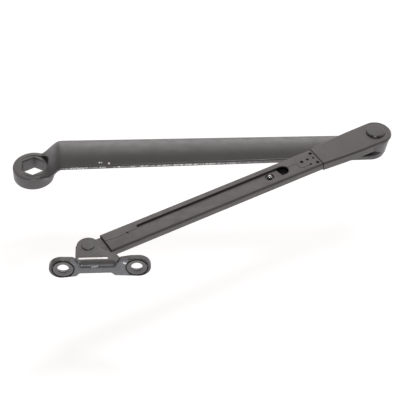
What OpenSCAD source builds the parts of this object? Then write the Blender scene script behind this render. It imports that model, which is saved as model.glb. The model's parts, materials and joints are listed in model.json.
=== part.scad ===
// Double-lever arm of a door closer: main arm, telescoping forearm and shoe.
// Millimetres. The origin is on the axis of the hex socket, at the underside of its eye.
// +Z is up along the spindle, +X runs along the main arm and along the face of the shoe.

/* [Main arm] */
// Distance from the spindle axis to the elbow axis
arm_length = 279.4; // [220:0.1:320]
// Outer diameter of the hex eye
eye_d = 33.6; // [32:0.1:38]
// Height of the hex eye
eye_h = 11.5; // [10:0.1:14]
// Distance across the flats of the hex socket
hex_af = 17.6; // [15:0.1:19]
// Depth of the lead-in chamfer at both ends of the hex socket
hex_chamfer = 0.8; // [0.2:0.1:1.2]
// Diameter of the round flat milled on top of the eye
spotface_d = 25.6; // [24:0.1:28]
// Height of the bar's underside above the eye's underside
bar_z = 20.7; // [18:0.1:22]
// Thickness of the bar at the middle of its crown
bar_crown = 7; // [6:0.1:8]
// Radius of the crowned top of the bar
crown_r = 34; // [30:1:60]
// Width of the bar next to the joggle
bar_w_eye = 33.2; // [30:0.1:33.6]
// Width of the bar next to the elbow
bar_w_elbow = 25.8; // [24:0.1:28]
// Start of the joggle's top slope
joggle_x = 7; // [6:0.5:9]
// Length along the arm that the joggle takes
joggle_run = 14; // [12:0.5:18]

/* [Elbow] */
// Height of the top of the elbow plate
plate_z = 39.9; // [39:0.1:41]
// Thickness of the elbow channel's sheet
plate_t = 2.2; // [1.8:0.1:2.6]
// Radius of the elbow plate's round end
plate_r = 13; // [12.6:0.1:14]
// Diameter of the elbow rivet's shank
elbow_pin_d = 9.9; // [9:0.1:10]
// Diameter of the elbow rivet's head
elbow_head_d = 15; // [14:0.1:16]
// Height of the elbow rivet's head above the plate
elbow_head_h = 1.7; // [1:0.1:2]

/* [Forearm] */
// Angle between the main arm and the forearm as drawn
elbow_angle = 28.35; // [15:0.05:60]
// Distance from the elbow axis to the shoe axis as drawn
forearm_length = 262; // [261:0.5:300]
// Distance from the elbow axis to the near end of the tube
tube_start = 57; // [56:0.5:58]
// Distance from the elbow axis to the open end of the tube
tube_end = 247.1; // [240:0.1:248]
// Outer width of the tube
tube_w = 20.2; // [19:0.1:21]
// Outer height of the tube
tube_h = 6.7; // [6.5:0.1:7]
// Height of the top of the tube
tube_z = 39.3; // [39:0.1:39.6]
// Wall thickness of the tube
tube_wall = 1.4; // [1.2:0.1:1.5]
// Width of the slot in the top of the tube
slot_w = 9.4; // [8:0.1:10]
// Distance from the elbow axis to the slot's round end
slot_start = 84.5; // [82:0.5:88]
// Distance from the elbow axis to the slot's square end
slot_end = 218.7; // [210:0.1:220]
// Thickness of the slide bar
slide_t = 3.1; // [2.8:0.1:3.2]
// Width of the slide bar
slide_w = 16.6; // [16:0.1:16.8]
// Distance from the elbow axis to the slide bar's inner end as drawn
slide_start = 92.1; // [90:0.1:94]
// Diameter of the steel ball that stops the slide
ball_d = 4.7; // [4:0.1:4.8]
// Distance from the elbow axis to the ball as drawn
ball_x = 101.4; // [98:0.1:106]

/* [Shoe] */
// Height of the top of the ear
ear_z = 43.8; // [43.6:0.1:44.5]
// Thickness of the ear
ear_t = 4; // [3.5:0.1:4]
// Radius of the ear's round lobe
ear_r = 8.6; // [8.4:0.1:9]
// Distance from the shoe axis to the front face of the foot
foot_y = 20.8; // [20:0.1:22]
// Thickness of the foot
foot_t = 4.6; // [4:0.1:5]
// Distance between the two screw holes
hole_spacing = 54.5; // [54:0.1:56]
// Offset along the foot from the shoe axis to the middle of the foot
foot_x = 9.1; // [8:0.1:10]
// Height of the screw holes
hole_z = 40.4; // [40:0.1:41]
// Diameter of the screw holes
hole_d = 8.3; // [6:0.1:8.5]
// Diameter of the flange of the screw bushings
flange_d = 16.2; // [15:0.1:16.4]
// Thickness of the flange of the screw bushings
flange_t = 2; // [1.5:0.1:2.4]
// Height of the foot's round ends
wing_h = 18.6; // [18:0.1:19]
// Diameter of the shoe rivet's shank
shoe_pin_d = 7; // [6:0.1:7.4]

/* [Hidden] */

$fn = 96;
eps = 0.01;
gap = 0.1;                     // between flat faces that turn or slide on each other
run_gap = 0.05;                // radial clearance of a running fit
bronze = [0.55, 0.42, 0.24];
paint = [0.40, 0.38, 0.37];
paint_dark = [0.35, 0.33, 0.32];
nylon = [0.18, 0.18, 0.19];
steel = [0.72, 0.73, 0.74];

// Main arm levels
bar_top = bar_z + bar_crown;
boss_top = plate_z - plate_t - 1.3;
boss_r_top = 12.2;
boss_r_bottom = 9.3;
bar_end_back = 4.2;            // the bar's round end is centred this far short of the elbow axis
tail_bore_d = 14.4;
tail_bore_h = 3.9;
bushing_wall = 1.1;
bushing_d = elbow_pin_d + 2 * run_gap + 2 * bushing_wall;

// Elbow channel
channel_wall_start = 10;       // clears the boss of the main arm as the elbow turns
channel_w_end = 21.2;
channel_z = tube_z - tube_h;
head_groove = 0.9;
head_groove_h = 0.8;
splice_start = 30;
splice_end = 74;

// Tube and slide levels
tube_bottom = tube_z - tube_h;
tube_floor = tube_bottom + tube_wall;
tube_roof = tube_z - tube_wall;
liner_t = 0.4;
slide_top = tube_roof - 0.2;
slide_bottom = slide_top - slide_t;
seam_w = 0.3;
seam_y = -1;
corner_r = 1.4;
pin_d = 1.7;
// Stake pins, along the forearm and across it
PIN_PLACES = [[59.8, -5.4], [60.4, 0], [60.2, 6], [65.5, -0.7], [66, 5.2], [71, -0.5]];
cup_d = 6.8;
eye_r = slide_w / 2;

// Shoe levels
ear_bottom = ear_z - ear_t;
slot_near = 14.2;              // the slit behind the foot, as distances from the shoe axis
slot_far = 11.6;
slit_left = -7;
slit_right = 15;
ear_left = -9.2;
ear_right = 24;
waist_z = 35.2;
waist_left = -8.5;
waist_right = 19.5;
wing_reach = 1.2;              // how far the end circle is centred beyond the hole
bend_r = 3.6;
shoe_head_d = 9;
shoe_head_h = 0.8;
shoe_tail_d = 10.4;
shoe_washer_d = 15.6;
shoe_bushing_d = shoe_pin_d + 2 * run_gap + 2.4;
sleeve_d = 12;                 // rear part of the screw bushings

// Places a child whose +X runs from the elbow along the forearm
module on_forearm() {
  translate([arm_length, 0, 0]) rotate([0, 0, 180 + elbow_angle]) children();
}

// Places a child around the shoe axis, with +X along the foot
module at_shoe() {
  on_forearm() translate([forearm_length, 0, 0]) rotate([0, 0, -180 - elbow_angle]) children();
}

module ring(outer, inner, bottom, top) {
  translate([0, 0, bottom]) difference() {
    cylinder(d = outer, h = top - bottom);
    translate([0, 0, -eps]) cylinder(d = inner, h = top - bottom + 2 * eps);
  }
}

module block(x0, x1, y0, y1, z0, z1) {
  translate([x0, y0, z0]) cube([x1 - x0, y1 - y0, z1 - z0]);
}

// ---- Main arm ----

module bar_plan() {
  last = arm_length - bar_end_back;
  polygon([
    [0, eye_d / 2], [joggle_x + joggle_run, bar_w_eye / 2], [last, bar_w_elbow / 2],
    [last, -bar_w_elbow / 2], [joggle_x + joggle_run, -bar_w_eye / 2], [0, -eye_d / 2]
  ]);
  translate([last, 0]) circle(d = bar_w_elbow);
}

// Side view of the bar and its joggle, from the eye to past the elbow
module bar_side() {
  rise_end = joggle_x + joggle_run;
  polygon([
    [0, 0], [joggle_x + 6, 0], [rise_end + 4, bar_z], [arm_length + bar_w_elbow, bar_z],
    [arm_length + bar_w_elbow, bar_top], [rise_end + 2.5, bar_top],
    [rise_end, bar_top - 1.6], [joggle_x, eye_h], [0, eye_h]
  ]);
}

module bar_body() {
  intersection() {
    linear_extrude(height = bar_top) bar_plan();
    translate([0, bar_w_eye, 0]) rotate([90, 0, 0]) linear_extrude(height = 2 * bar_w_eye) bar_side();
    translate([-1, 0, bar_top - crown_r]) rotate([0, 90, 0])
      cylinder(r = crown_r, h = arm_length + bar_w_elbow);
  }
}

module hex_prism(af, h) {
  rotate([0, 0, 30]) cylinder(d = af / cos(30), h = h, $fn = 6);
}

module hex_socket() {
  lead_d = hex_af / cos(30) + 0.3;
  translate([0, 0, -eps]) hex_prism(hex_af, eye_h + 2 * eps);
  translate([0, 0, eye_h - hex_chamfer]) cylinder(d1 = hex_af, d2 = lead_d, h = hex_chamfer + eps);
  translate([0, 0, -eps]) cylinder(d1 = lead_d, d2 = hex_af, h = hex_chamfer + eps);
}

module main_arm() {
  color(paint) difference() {
    union() {
      cylinder(d = eye_d, h = eye_h);
      bar_body();
      translate([arm_length, 0, bar_z])
        cylinder(r1 = boss_r_bottom, r2 = boss_r_top, h = boss_top - bar_z);
    }
    translate([0, 0, eye_h]) cylinder(d = spotface_d, h = bar_top);
    hex_socket();
    translate([arm_length, 0, bar_z - eps]) cylinder(d = tail_bore_d, h = tail_bore_h + eps);
    translate([arm_length, 0, bar_z]) cylinder(d = bushing_d, h = boss_top);
  }
}

module elbow_bushing() {
  color(bronze) translate([arm_length, 0, 0])
    ring(bushing_d, elbow_pin_d + 2 * run_gap, bar_z + tail_bore_h, boss_top);
}

// ---- Elbow ----

// Plan of the elbow channel: a round end that narrows to the width of the tube
module channel_plan(inset) {
  circle(r = plate_r - inset);
  polygon([
    [0, plate_r - inset], [22, plate_r - 0.3 - inset], [36, plate_r - 1 - inset],
    [tube_start, channel_w_end / 2 - inset], [tube_start, inset - channel_w_end / 2],
    [36, inset + 1 - plate_r], [22, inset + 0.3 - plate_r], [0, inset - plate_r]
  ]);
}

module elbow_channel() {
  wall_h = plate_z - channel_z;
  color(paint) on_forearm() difference() {
    translate([0, 0, channel_z]) linear_extrude(height = wall_h) channel_plan(0);
    translate([0, 0, channel_z - eps]) linear_extrude(height = wall_h - plate_t + eps) difference() {
      union() {
        channel_plan(plate_t);
        translate([-2 * plate_r, -2 * plate_r]) square([2 * plate_r + channel_wall_start, 4 * plate_r]);
        translate([tube_start - 1, plate_t - channel_w_end / 2]) square([2, channel_w_end - 2 * plate_t]);
      }
    }
    translate([0, 0, channel_z]) cylinder(d = elbow_pin_d, h = wall_h + eps);
    translate([0, 0, plate_z - head_groove_h])
      cylinder(d = elbow_head_d + 2 * head_groove, h = head_groove_h + eps);
  }
}

module elbow_rivet() {
  tail_d = 12;
  tail_bottom = bar_z + 0.5;
  tail_top = bar_z + tail_bore_h - 1.7;
  color(paint_dark) on_forearm() union() {
    translate([0, 0, tail_bottom]) cylinder(d = elbow_pin_d, h = plate_z - tail_bottom);
    translate([0, 0, tail_bottom]) cylinder(d1 = tail_d - 2, d2 = tail_d, h = tail_top - tail_bottom);
    translate([0, 0, plate_z - head_groove_h])
      cylinder(d = elbow_head_d, h = head_groove_h + elbow_head_h - 0.5);
    translate([0, 0, plate_z + elbow_head_h - 0.5])
      cylinder(d1 = elbow_head_d, d2 = elbow_head_d - 1.2, h = 0.5);
  }
}

module elbow_thrust_washer() {
  color(nylon) on_forearm() ring(23.6, elbow_pin_d, boss_top + gap, plate_z - plate_t);
}

// Lies between the shoulder of the tail bore and the tail washer
module elbow_wave_washer() {
  top = bar_z + tail_bore_h - gap;
  color(steel) on_forearm() ring(13.4, elbow_pin_d, top - 0.5, top);
}

module elbow_tail_washer() {
  top = bar_z + tail_bore_h - gap - 0.5;
  color(steel) on_forearm() ring(13.6, elbow_pin_d, top - 1.1, top);
}

// Joins the channel to the tube; it fills both and is held by the stake pins
module splice_block() {
  half = tube_w / 2 - tube_wall - corner_r / 2;
  color(paint_dark) on_forearm() difference() {
    block(splice_start, splice_end, -half, half, tube_floor, tube_roof - 0.2);
    stake_holes();
  }
}

// ---- Forearm tube ----

module tube_section(inset) {
  half = tube_w / 2 - inset;
  top = tube_z - inset;
  bottom = tube_bottom + inset;
  r = corner_r - inset / 2;
  for (y = [r - half, half - r], z = [bottom + r, top - r]) translate([y, z]) circle(r = r);
  translate([-half, bottom + r]) square([2 * half, top - bottom - 2 * r]);
  translate([r - half, bottom]) square([2 * (half - r), top - bottom]);
}

module along_forearm(x0, x1) {
  translate([x0, 0, 0]) rotate([90, 0, 90]) linear_extrude(height = x1 - x0) children();
}

module stake_holes() {
  for (place = PIN_PLACES) translate([place[0], place[1], tube_roof - 1.6])
    cylinder(d = pin_d, h = 4, $fn = 32);
}

module tube_slot() {
  translate([slot_start + slot_w / 2, 0, tube_roof - 0.5]) {
    cylinder(d = slot_w, h = 3);
    translate([0, -slot_w / 2, 0]) cube([slot_end - slot_start - slot_w / 2, slot_w, 3]);
  }
  block(tube_start - 1, slot_start + 1, seam_y, seam_y + seam_w, tube_roof - 0.5, tube_z + 1);
  block(slot_end - 1, tube_end + 1, seam_y, seam_y + seam_w, tube_roof - 0.5, tube_z + 1);
}

module forearm_tube() {
  color(paint) on_forearm() difference() {
    along_forearm(tube_start, tube_end) tube_section(0);
    along_forearm(tube_start - 1, tube_end + 1) tube_section(tube_wall);
    tube_slot();
    stake_holes();
  }
}

module stake_pins() {
  color(paint_dark) on_forearm() for (place = PIN_PLACES)
    translate([place[0], place[1], tube_roof - 1.6]) cylinder(d = pin_d, h = tube_z - tube_roof + 1.4, $fn = 32);
}

// Nylon strip under the slide bar
module floor_liner() {
  color(nylon) on_forearm() block(splice_end + 4, tube_end - 1.5, -7.4, 7.4, tube_floor, tube_floor + liner_t);
}

// ---- Slide ----

module slide_bar() {
  color(paint) on_forearm() difference() {
    union() {
      block(slide_start, forearm_length, -slide_w / 2, slide_w / 2, slide_bottom, slide_top);
      translate([forearm_length, 0, slide_bottom]) cylinder(r = eye_r, h = slide_t);
    }
    translate([forearm_length, 0, slide_bottom - eps]) cylinder(d = shoe_bushing_d, h = slide_t + 2 * eps);
    translate([ball_x, 0, slide_bottom - eps]) cylinder(d = cup_d, h = slide_t + 2 * eps);
  }
}

// Pressed into the slide bar; its bore grips the ball
module ball_cup() {
  grip = 0.2;
  color(paint_dark) on_forearm() translate([ball_x, 0, 0])
    ring(cup_d, ball_d - grip, slide_bottom, slide_bottom + 2);
}

module stop_ball() {
  color(steel) on_forearm() translate([ball_x, 0, slide_bottom + ball_d / 2]) sphere(d = ball_d);
}

module shoe_bushing() {
  color(bronze) at_shoe()
    ring(shoe_bushing_d, shoe_pin_d + 2 * run_gap, slide_bottom, slide_top);
}

// ---- Shoe ----

// Front view of the foot: two round ends joined by a narrower waist
module foot_front() {
  half = hole_spacing / 2;
  r = wing_h / 2;
  ramp = 2.4;
  for (side = [-1, 1]) translate([foot_x + side * (half + wing_reach), hole_z]) circle(r = r);
  polygon([
    [foot_x - half - wing_reach, hole_z + r], [ear_left, hole_z + r - 0.6],
    [ear_left + ramp, ear_z], [ear_right - ramp, ear_z],
    [ear_right, hole_z + r - 0.6], [foot_x + half + wing_reach, hole_z + r],
    [foot_x + half + wing_reach, hole_z - r], [waist_right, hole_z - r + 1.4],
    [waist_right - ramp, waist_z], [waist_left + ramp, waist_z],
    [waist_left, hole_z - r + 1.4], [foot_x - half - wing_reach, hole_z - r]
  ]);
}

// Plan of the ear, from the rivet's lobe to the foot
module ear_plan() {
  circle(r = ear_r);
  polygon([
    [ear_left, 0], [ear_left, -foot_y], [ear_right, -foot_y], [ear_right, -slot_far - 1],
    [ear_right - 3, -slot_far + 1.6], [ear_r + 1.6, -3.4], [ear_r, 0]
  ]);
}

module shoe_bracket() {
  color(paint) at_shoe() difference() {
    union() {
      translate([0, -foot_y + foot_t, 0]) rotate([90, 0, 0]) linear_extrude(height = foot_t) foot_front();
      translate([0, 0, ear_bottom]) linear_extrude(height = ear_t) ear_plan();
    }
    // rounded outside of the bend
    difference() {
      block(ear_left + 2.4, ear_right - 2.4, -foot_y - 1, bend_r - foot_y, ear_z - bend_r, ear_z + 1);
      translate([ear_left, bend_r - foot_y, ear_z - bend_r]) rotate([0, 90, 0])
        cylinder(r = bend_r, h = ear_right - ear_left);
    }
    // slit behind the foot
    block(slit_left, slit_right, -slot_near, -slot_far, ear_bottom - 1, ear_z + 1);
    translate([0, 0, ear_bottom - 1]) cylinder(d = shoe_pin_d, h = ear_t + 2);
    translate([0, 0, ear_z - shoe_head_h]) cylinder(d = shoe_head_d + 1, h = shoe_head_h + 1);
    for (side = [-1, 1]) translate([foot_x + side * hole_spacing / 2, 0, hole_z]) rotate([90, 0, 0]) {
      translate([0, 0, foot_y - foot_t - 1]) cylinder(d = sleeve_d, h = foot_t + 2);
      translate([0, 0, foot_y - flange_t]) cylinder(d = flange_d, h = flange_t + 1);
    }
  }
}

module shoe_rivet() {
  tail_bottom = slide_bottom - 3.1;
  color(paint_dark) at_shoe() union() {
    translate([0, 0, tail_bottom]) cylinder(d = shoe_pin_d, h = ear_z - tail_bottom);
    translate([0, 0, tail_bottom]) cylinder(d1 = shoe_tail_d - 2, d2 = shoe_tail_d, h = 1.4);
    translate([0, 0, ear_z - shoe_head_h]) cylinder(d = shoe_head_d, h = shoe_head_h + 0.4);
    translate([0, 0, ear_z + 0.4]) cylinder(d1 = shoe_head_d, d2 = shoe_head_d - 1, h = 0.4);
  }
}

module shoe_spacer_washer() {
  color(steel) at_shoe() ring(shoe_washer_d, shoe_pin_d, slide_top + gap, ear_bottom);
}

module shoe_wave_washer() {
  color(steel) at_shoe() ring(shoe_washer_d - 1, shoe_pin_d, slide_bottom - 0.6, slide_bottom - gap);
}

module shoe_tail_washer() {
  color(steel) at_shoe() ring(shoe_washer_d - 1, shoe_pin_d, slide_bottom - 1.7, slide_bottom - 0.6);
}

// Pressed into the foot from its front face, with a dished flange flush with that face
module screw_bushing(side) {
  dish = 0.5;
  color(paint_dark) at_shoe() translate([foot_x + side * hole_spacing / 2, foot_t - foot_y, hole_z])
    rotate([90, 0, 0]) difference() {
      union() {
        cylinder(d = sleeve_d, h = foot_t);
        translate([0, 0, foot_t - flange_t]) cylinder(d = flange_d, h = flange_t);
      }
      translate([0, 0, -eps]) cylinder(d = hole_d, h = foot_t + 2 * eps);
      translate([0, 0, foot_t - dish]) cylinder(d1 = hole_d, d2 = flange_d - 3, h = dish + eps);
    }
}

module screw_bushing_left() { screw_bushing(-1); }
module screw_bushing_right() { screw_bushing(1); }

main_arm();
elbow_bushing();
elbow_channel();
splice_block();
forearm_tube();
stake_pins();
elbow_rivet();
elbow_thrust_washer();
elbow_wave_washer();
elbow_tail_washer();
floor_liner();
slide_bar();
ball_cup();
stop_ball();
shoe_bushing();
shoe_bracket();
shoe_rivet();
shoe_spacer_washer();
shoe_wave_washer();
shoe_tail_washer();
screw_bushing_left();
screw_bushing_right();
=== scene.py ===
"""Looks for the door closer arm: forged main arm, telescoping forearm and shoe, in satin dark paint.

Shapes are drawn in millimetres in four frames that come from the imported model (the main arm's, the
elbow's, the forearm's and the shoe's) and are turned into the row's metres when they are made.
"""
import json
import math

import bmesh
import bpy
from mathutils import Matrix, Vector


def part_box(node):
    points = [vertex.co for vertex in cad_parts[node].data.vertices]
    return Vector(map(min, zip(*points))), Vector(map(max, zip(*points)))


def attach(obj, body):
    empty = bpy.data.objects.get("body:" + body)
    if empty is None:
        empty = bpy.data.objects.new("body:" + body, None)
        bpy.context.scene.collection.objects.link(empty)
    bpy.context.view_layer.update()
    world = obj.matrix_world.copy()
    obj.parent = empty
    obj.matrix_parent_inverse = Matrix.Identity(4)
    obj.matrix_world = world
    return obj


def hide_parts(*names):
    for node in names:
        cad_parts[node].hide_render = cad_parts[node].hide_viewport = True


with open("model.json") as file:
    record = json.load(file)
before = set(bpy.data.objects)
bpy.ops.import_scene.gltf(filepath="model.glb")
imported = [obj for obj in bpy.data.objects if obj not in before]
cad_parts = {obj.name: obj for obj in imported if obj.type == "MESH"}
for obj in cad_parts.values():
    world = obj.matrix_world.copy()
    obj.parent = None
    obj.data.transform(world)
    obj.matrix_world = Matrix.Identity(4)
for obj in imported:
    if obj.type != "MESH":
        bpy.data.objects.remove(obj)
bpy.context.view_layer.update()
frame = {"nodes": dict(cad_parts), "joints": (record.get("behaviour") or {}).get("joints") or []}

MM = 0.001
SMOOTH_ANGLE = 32  # degrees; an edge sharper than this stays sharp
WELD_DISTANCE = 0.004
NORMAL_WEIGHT = 50

# ---------------- places, from the frame
JOINTS = {joint["name"]: joint for joint in frame["joints"]}
ELBOW = Vector(JOINTS["elbow"]["pos_m"][:2]) / MM
SHOE = Vector(JOINTS["shoe_pivot"]["pos_m"][:2]) / MM
REACH = Vector(JOINTS["forearm_slide"]["axis"][:2]).normalized()

# Each frame is an origin in the plane and the direction of its own +X; heights are the row's.
ARM_FRAME = (Vector((0, 0)), Vector((1, 0)))
ELBOW_FRAME = (ELBOW, Vector((1, 0)))
FOREARM_FRAME = (ELBOW, REACH)
SHOE_FRAME = (SHOE, Vector((1, 0)))


def place(where):
    """The matrix from a frame's own millimetres to the row's metres."""
    origin, along = where
    turn = Matrix.Rotation(math.atan2(along.y, along.x), 4, "Z")
    return Matrix.Scale(MM, 4) @ Matrix.Translation((origin.x, origin.y, 0)) @ turn


def span(node, where=ARM_FRAME):
    """A CAD node's lowest and highest corner, in a frame's own millimetres."""
    back = place(where).inverted()
    points = [back @ vertex.co for vertex in frame["nodes"][node].data.vertices]
    low = Vector([min(p[i] for p in points) for i in range(3)])
    high = Vector([max(p[i] for p in points) for i in range(3)])
    return low, high


# ---------------- mesh helpers
def new_object(name, bm, where):
    """Makes a piece from a bmesh drawn in a frame's own millimetres."""
    bmesh.ops.recalc_face_normals(bm, faces=bm.faces)
    mesh = bpy.data.meshes.new(name)
    bm.to_mesh(mesh)
    bm.free()
    mesh.transform(place(where))
    obj = bpy.data.objects.new(name, mesh)
    bpy.context.scene.collection.objects.link(obj)
    return obj


def loft(rings, closed_path=False):
    """A closed solid through rings of the same number of points."""
    bm = bmesh.new()
    rows = [[bm.verts.new(point) for point in ring] for ring in rings]
    count = len(rings[0])
    pairs = list(zip(rows, rows[1:]))
    if closed_path:
        pairs.append((rows[-1], rows[0]))
    for row, following in pairs:
        for i in range(count):
            j = (i + 1) % count
            bm.faces.new((row[i], row[j], following[j], following[i]))
    if not closed_path:
        bm.faces.new(rows[0][::-1])
        bm.faces.new(rows[-1])
    return bm


def lathe(profile, centre=(0, 0), steps=96):
    """Turns a closed profile of (radius, height) about the vertical; radius 0 is kept on the axis."""
    bm = bmesh.new()
    axis_points = {}
    rows = []
    for step in range(steps):
        angle = 2 * math.pi * step / steps
        row = []
        for index, (radius, height) in enumerate(profile):
            if radius <= 0:
                if index not in axis_points:
                    axis_points[index] = bm.verts.new((centre[0], centre[1], height))
                row.append(axis_points[index])
            else:
                x = centre[0] + radius * math.cos(angle)
                y = centre[1] + radius * math.sin(angle)
                row.append(bm.verts.new((x, y, height)))
        rows.append(row)
    for row, following in zip(rows, rows[1:] + rows[:1]):
        for i in range(len(profile)):
            j = (i + 1) % len(profile)
            corners = [row[i], row[j], following[j], following[i]]
            unique = list(dict.fromkeys(corners))
            if len(unique) > 2:
                bm.faces.new(unique)
    return bm


def prism(outline, low, high):
    """Extrudes a plan outline of (x, y) points from one height to another."""
    return loft([[(x, y, z) for x, y in outline] for z in (low, high)])


def arc(centre, radius, start, end, steps):
    """Points on an arc, from and to angles in degrees, both ends kept."""
    points = []
    for step in range(steps + 1):
        angle = math.radians(start + (end - start) * step / steps)
        points.append((centre[0] + radius * math.cos(angle), centre[1] + radius * math.sin(angle)))
    return points


def rounded(corners, steps=5):
    """An outline whose corners, (x, y, radius), are rounded where the radius isn't 0."""
    points = []
    count = len(corners)
    for i, (x, y, radius) in enumerate(corners):
        here = Vector((x, y))
        before = (Vector(corners[i - 1][:2]) - here).normalized()
        after = (Vector(corners[(i + 1) % count][:2]) - here).normalized()
        if radius <= 0:
            points.append((x, y))
            continue
        half = before.angle(after) / 2
        reach = radius / math.tan(half)
        middle = here + (before + after).normalized() * radius / math.sin(half)
        start = here + before * reach - middle
        end = here + after * reach - middle
        swing = start.angle_signed(end)
        for step in range(steps + 1):
            points.append(tuple(middle + Matrix.Rotation(-swing * step / steps, 2) @ start))
    return points


def apply_modifiers(obj):
    """Replaces a piece's mesh by what its modifiers make of it."""
    graph = bpy.context.evaluated_depsgraph_get()
    mesh = bpy.data.meshes.new_from_object(obj.evaluated_get(graph))
    obj.modifiers.clear()
    old = obj.data
    obj.data = mesh
    bpy.data.meshes.remove(old)


def combine(obj, tools, operation):
    """Joins tools to a piece or cuts them from it, and removes them."""
    for tool in tools:
        step = obj.modifiers.new("combine", "BOOLEAN")
        step.operation = operation
        step.solver = "EXACT"
        step.object = tool
        apply_modifiers(obj)
        bpy.data.objects.remove(tool)


def clean(obj):
    """Welds points that lie on each other."""
    bm = bmesh.new()
    bm.from_mesh(obj.data)
    bmesh.ops.remove_doubles(bm, verts=bm.verts, dist=WELD_DISTANCE * MM)
    bm.to_mesh(obj.data)
    bm.free()


def shade(obj, angle=SMOOTH_ANGLE):
    """Smooth shading that keeps flat faces flat, with edges sharper than the angle left sharp."""
    obj.data.polygons.foreach_set("use_smooth", [True] * len(obj.data.polygons))
    obj.data.set_sharp_from_angle(angle=math.radians(angle))
    step = obj.modifiers.new("normals", "WEIGHTED_NORMAL")
    step.mode = "FACE_AREA"
    step.weight = NORMAL_WEIGHT
    step.keep_sharp = True
    apply_modifiers(obj)


def wear_material(obj, material):
    """Gives a piece one material all over."""
    obj.data.materials.clear()
    obj.data.materials.append(material)
    for polygon in obj.data.polygons:
        polygon.material_index = 0


def piece(obj, body, slot, material, *nodes, smooth=SMOOTH_ANGLE):
    """Finishes a piece: smooth shading, material, the body it rides on and the nodes it stands for."""
    shade(obj, smooth)
    wear_material(obj, material)
    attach(obj, body)
    if nodes:
        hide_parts(*nodes)
    return obj


# ---------------- materials
class Graph:
    """A small wrapper that keeps node code readable."""

    def __init__(self, name):
        self.material = bpy.data.materials.new(name)
        self.material.use_nodes = True
        self.tree = self.material.node_tree
        self.shader = self.tree.nodes["Principled BSDF"]
        self.coords = self.node("ShaderNodeTexCoord").outputs["Object"]

    def node(self, kind, **values):
        made = self.tree.nodes.new(kind)
        for key, value in values.items():
            setattr(made, key, value)
        return made

    def link(self, source, target):
        self.tree.links.new(source, target)

    def fill(self, target, value):
        """Links a socket, or sets its value where a plain number or colour is given."""
        if hasattr(value, "is_output"):
            self.link(value, target)
        else:
            target.default_value = value

    def noise(self, scale, detail=3, roughness=0.5, coords=None):
        made = self.node("ShaderNodeTexNoise")
        self.link(coords or self.coords, made.inputs["Vector"])
        made.inputs["Scale"].default_value = scale
        made.inputs["Detail"].default_value = detail
        made.inputs["Roughness"].default_value = roughness
        return made.outputs["Fac"]

    def math(self, operation, a, b=0.0, clamp=False):
        made = self.node("ShaderNodeMath", operation=operation, use_clamp=clamp)
        self.fill(made.inputs[0], a)
        self.fill(made.inputs[1], b)
        return made.outputs[0]

    def ramp(self, value, low, high, to_low=0.0, to_high=1.0):
        """A smooth step from one value to another as the input goes from low to high."""
        made = self.node("ShaderNodeMapRange", interpolation_type="SMOOTHSTEP")
        self.fill(made.inputs["Value"], value)
        made.inputs["From Min"].default_value = low
        made.inputs["From Max"].default_value = high
        made.inputs["To Min"].default_value = to_low
        made.inputs["To Max"].default_value = to_high
        return made.outputs["Result"]

    def mix(self, factor, a, b):
        made = self.node("ShaderNodeMixRGB")
        self.fill(made.inputs["Fac"], factor)
        self.fill(made.inputs["Color1"], a)
        self.fill(made.inputs["Color2"], b)
        return made.outputs["Color"]

    def stretched(self, scale, angle=0.0):
        """Object coordinates turned about the vertical, then stretched, for brushed and rolled grain."""
        made = self.node("ShaderNodeMapping")
        self.link(self.coords, made.inputs["Vector"])
        made.inputs["Rotation"].default_value = (0, 0, angle)
        made.inputs["Scale"].default_value = scale
        return made.outputs["Vector"]

    def bump(self, layers):
        """Layers of (height, strength, distance in millimetres), from coarse to fine."""
        normal = None
        for height, strength, distance in layers:
            made = self.node("ShaderNodeBump")
            made.inputs["Strength"].default_value = strength
            made.inputs["Distance"].default_value = distance * MM
            self.link(height, made.inputs["Height"])
            if normal is not None:
                self.link(normal, made.inputs["Normal"])
            normal = made.outputs["Normal"]
        self.link(normal, self.shader.inputs["Normal"])


def rgb(value, factor=1.0):
    """A colour with its alpha, scaled where a factor is given."""
    return tuple(channel * factor for channel in value) + (1.0,)


WARM = (0.043, 0.0365, 0.034)
COOL = (0.042, 0.039, 0.040)
INNER = [channel * 0.95 for channel in WARM]
# a paler, bluer tint: the painted reflection of the pale floor on the foot's front
REFLECTION_TINT = (0.145, 0.148, 0.170)
BARE = (0.93, 0.92, 0.90)
PAINT_GLOSS = 1.52
SCREW_GLOSS = 1.62
BARE_METALLIC = 0.75
GRAIN_STRETCH = (60, 1400, 1400)


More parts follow.
